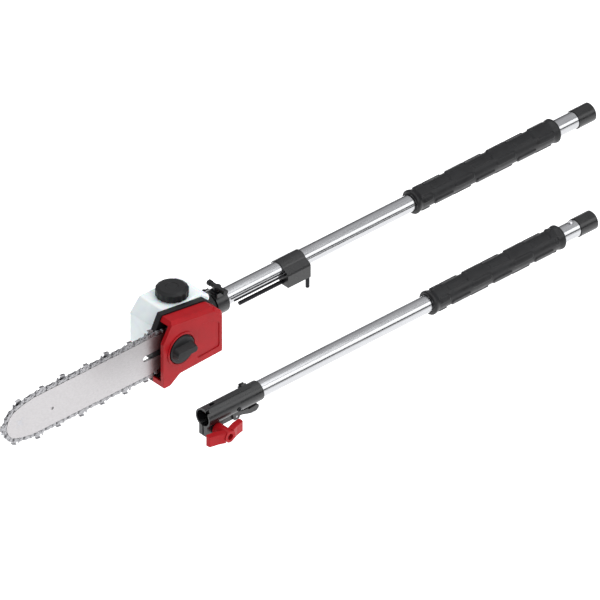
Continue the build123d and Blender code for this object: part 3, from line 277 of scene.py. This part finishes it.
ALONG = (0.02, 1, 1)  # streaks fifty times longer than wide, along X
metal("tube_aluminium", "drawn_aluminium", "#ADAEB0", "#C2C3C5", (0.13, 0.22), 0.5 * MM, ALONG, 0.004 * MM)
metal("bar_steel", "ground_steel", "#A9A7A8", "#BDBBBC", (0.34, 0.46), 0.9 * MM, (0.25, 1, 1), 0.01 * MM)
metal("chain_steel", "hardened_chain_steel", "#77777A", "#B4B4B6", (0.22, 0.42), 1.6 * MM, (1, 1, 1), 0.03 * MM)
metal("machined_steel", "turned_steel", "#9A9A9D", "#BFBFC2", (0.25, 0.38), 0.6 * MM, (1, 1, 1), 0.01 * MM)
metal("blackened_steel", "black_oxide_steel", "#1E1E20", "#303033", (0.34, 0.48), 0.8 * MM, (1, 1, 1), 0.01 * MM)
metal("spring_steel", "bright_spring_steel", "#BDBDC0", "#D8D8DA", (0.16, 0.26), 0.5 * MM, (1, 1, 1), 0.004 * MM)
print("metals:", sorted(finishes))

# %% [markdown]
# ## Moulded plastics and rubber
# Glass-filled nylon comes out of a spark-eroded mould with a fine leathery grain and a satin sheen.
# The grain is about half a millimetre, too fine to see from a metre away, but it breaks up the gloss.
# The tank is blow-moulded polyethylene: milky, so that light spreads inside it.
# The grips' rubber comes out smoother than the nylon, so the edges of its pads catch the light.
# Dyed nylon shows little gloss from the side, so the red and the matt black have a low specular level.

# %% plastics and rubber
CLOUD_SIZE = 14 * MM  # how far apart the slow changes of tone in a moulding are


def moulded(slot, name, dark, light, rough, spot, depth, **extra):
    """A moulded finish: two near tones, a range of roughness, and the size and depth of the mould's grain."""
    material, tree = blank_material(name)
    grain = speckle(tree, spot)
    cloud = speckle(tree, CLOUD_SIZE, detail=2.0)
    finish_with(
        tree,
        Base_Color=tint(tree, cloud, dark, light),
        Roughness=between(tree, cloud, *rough),
        Normal=relief(tree, grain, depth),
        **extra,
    )
    finishes[slot] = material


matt = {"IOR": 1.53, "Specular_IOR_Level": 0.3}
moulded("black_plastic", "grained_black_nylon", "#101012", "#161719", (0.42, 0.54), 0.4 * MM, 0.03 * MM, **matt)
satin = "satin_black_nylon"
moulded("black_gloss_plastic", satin, "#0F1011", "#151618", (0.24, 0.34), 0.5 * MM, 0.012 * MM, IOR=1.53)
dyed = {"IOR": 1.53, "Specular_IOR_Level": 0.15}
moulded("red_plastic", "moulded_red_nylon", "#9C0F17", "#A6141C", (0.30, 0.40), 0.45 * MM, 0.02 * MM, **dyed)
moulded("grip_rubber", "moulded_grip_rubber", "#101012", "#17181A", (0.34, 0.48), 0.5 * MM, 0.05 * MM, **matt)
moulded("seal_rubber", "nitrile_rubber", "#151516", "#1C1C1D", (0.5, 0.6), 0.5 * MM, 0.02 * MM, IOR=1.5)
milky = {"IOR": 1.5, "Subsurface_Weight": 0.35, "Subsurface_Scale": 6 * MM}
tank = "blow_moulded_polyethylene"
moulded("tank_plastic", tank, "#EEF0F2", "#F6F7F8", (0.36, 0.46), 1.5 * MM, 0.03 * MM, **milky)
print("finishes:", len(finishes))

# %% [markdown]
# ## Give each CAD piece its finish
# The record says which material slot each node has, so the finishes go on by slot.

# %% assign finishes
for part in frame["record"]["subparts"]:
    piece = nodes[part["node"]]
    for place in piece.material_slots:
        place.material = finishes[part["material_slot"]]

# %% [markdown]
# ## Rubber grips
# Each grip is one rubber sleeve moulded with rows of raised pads, staggered like bricks, and a flared end.
# A sleeve is a surface of revolution plus a relief, so one formula gives the radius at every point:
# a plain core, a pad where the point is inside a rounded rectangle, and a bell at each end.

# %% grips
PAD_ROWS = 8
PAD_PITCH = 73.5 * MM
PAD_HALF_LENGTH = 16.6 * MM
PAD_HALF_WIDTH = 4.9 * MM
PAD_CORNER = 3.6 * MM
PAD_HEIGHT = 1.6 * MM
PAD_EDGE = 0.7 * MM
PAD_FADE = 2 * MM  # how quickly the pads rise beyond the flare
FLARE_LENGTH = 11 * MM
FLARE_CREST = 3 * MM  # where the bell is widest, from the sleeve's end
FLARE_HEIGHT = 1.9 * MM
LIP_LENGTH = 2.2 * MM
LIP_DEPTH = 1.4 * MM
CORE_RISE = 0.25 * MM
CORE_MARGIN = 1.4 * MM  # the pads' tops stay this far inside the CAD sleeve's radius
STEP_ALONG = 0.9 * MM
STEPS_ROUND = 144


def smooth(t):
    """A soft step from 0 to 1."""
    t = min(max(t, 0.0), 1.0)
    return t * t * (3 - 2 * t)


def inside_pad(along, across):
    """How far a point is inside a rounded rectangle about the origin; negative when outside."""
    a = abs(along) - PAD_HALF_LENGTH + PAD_CORNER
    b = abs(across) - PAD_HALF_WIDTH + PAD_CORNER
    outside = math.hypot(max(a, 0.0), max(b, 0.0))
    return PAD_CORNER - outside - min(max(a, b), 0.0)


def grip_radius(x, angle, start, end, top):
    """The sleeve's radius at a place along it and an angle round it."""
    core = top - PAD_HEIGHT
    from_end = min(x - start, end - x)
    row = int(angle / (2 * math.pi) * PAD_ROWS) % PAD_ROWS
    across = (angle - (row + 0.5) * 2 * math.pi / PAD_ROWS) * top
    phase = (x - start - FLARE_LENGTH) / PAD_PITCH + (0.5 if row % 2 else 0.0)
    along = (phase - math.floor(phase) - 0.5) * PAD_PITCH
    fade = smooth((from_end - FLARE_LENGTH) / PAD_FADE)
    pad = smooth(inside_pad(along, across) / PAD_EDGE + 0.5) * fade
    flare = smooth(1 - (from_end - FLARE_CREST) / (FLARE_LENGTH - FLARE_CREST)) * FLARE_HEIGHT
    lip = -LIP_DEPTH * smooth(1 - from_end / LIP_LENGTH) ** 2
    return core + pad * PAD_HEIGHT + flare + lip + CORE_RISE


def grip(name, node, body):
    """Builds a moulded sleeve in the space of its CAD node."""
    low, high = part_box(node)
    centre = (low + high) / 2
    top = (high.z - low.z) / 2 - CORE_MARGIN
    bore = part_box("main_tube")[1].z
    count = round((high.x - low.x) / STEP_ALONG)
    xs = [low.x + (high.x - low.x) * i / count for i in range(count + 1)]
    mesh = bmesh.new()

    def ring(x, radius):
        """One circle of points across the sleeve, whose radius may change with the angle."""
        points = []
        for k in range(STEPS_ROUND):
            angle = 2 * math.pi * k / STEPS_ROUND
            r = radius(angle)
            points.append(mesh.verts.new((x, centre.y + r * math.cos(angle), centre.z + r * math.sin(angle))))
        return points

    rings = [ring(x, lambda angle: grip_radius(x, angle, low.x, high.x, top)) for x in xs]
    rings += [ring(x, lambda angle: bore) for x in (high.x, low.x)]
    rings.append(rings[0])
    for first, second in zip(rings, rings[1:]):
        for k in range(STEPS_ROUND):
            n = (k + 1) % STEPS_ROUND
            mesh.faces.new((first[k], first[n], second[n], second[k]))
    bmesh.ops.recalc_face_normals(mesh, faces=mesh.faces)
    data = bpy.data.meshes.new(name)
    mesh.to_mesh(data)
    mesh.free()
    for face in data.polygons:
        face.use_smooth = True
    data.materials.append(finishes["grip_rubber"])
    sleeve = bpy.data.objects.new(name, data)
    bpy.context.scene.collection.objects.link(sleeve)
    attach(sleeve, body)
    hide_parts(node)
    print(name, "has", len(data.polygons), "faces")


grip("main_grip_sleeve", "main_grip", "saw_head_and_pole")
grip("ext_grip_sleeve", "ext_grip", "extension")

# %% [markdown]
# ## The CAD model's box
# The looks must stay inside the CAD model's box, so that box is written down.

# %% write the sizes
print("cad box", cad_low, cad_high)
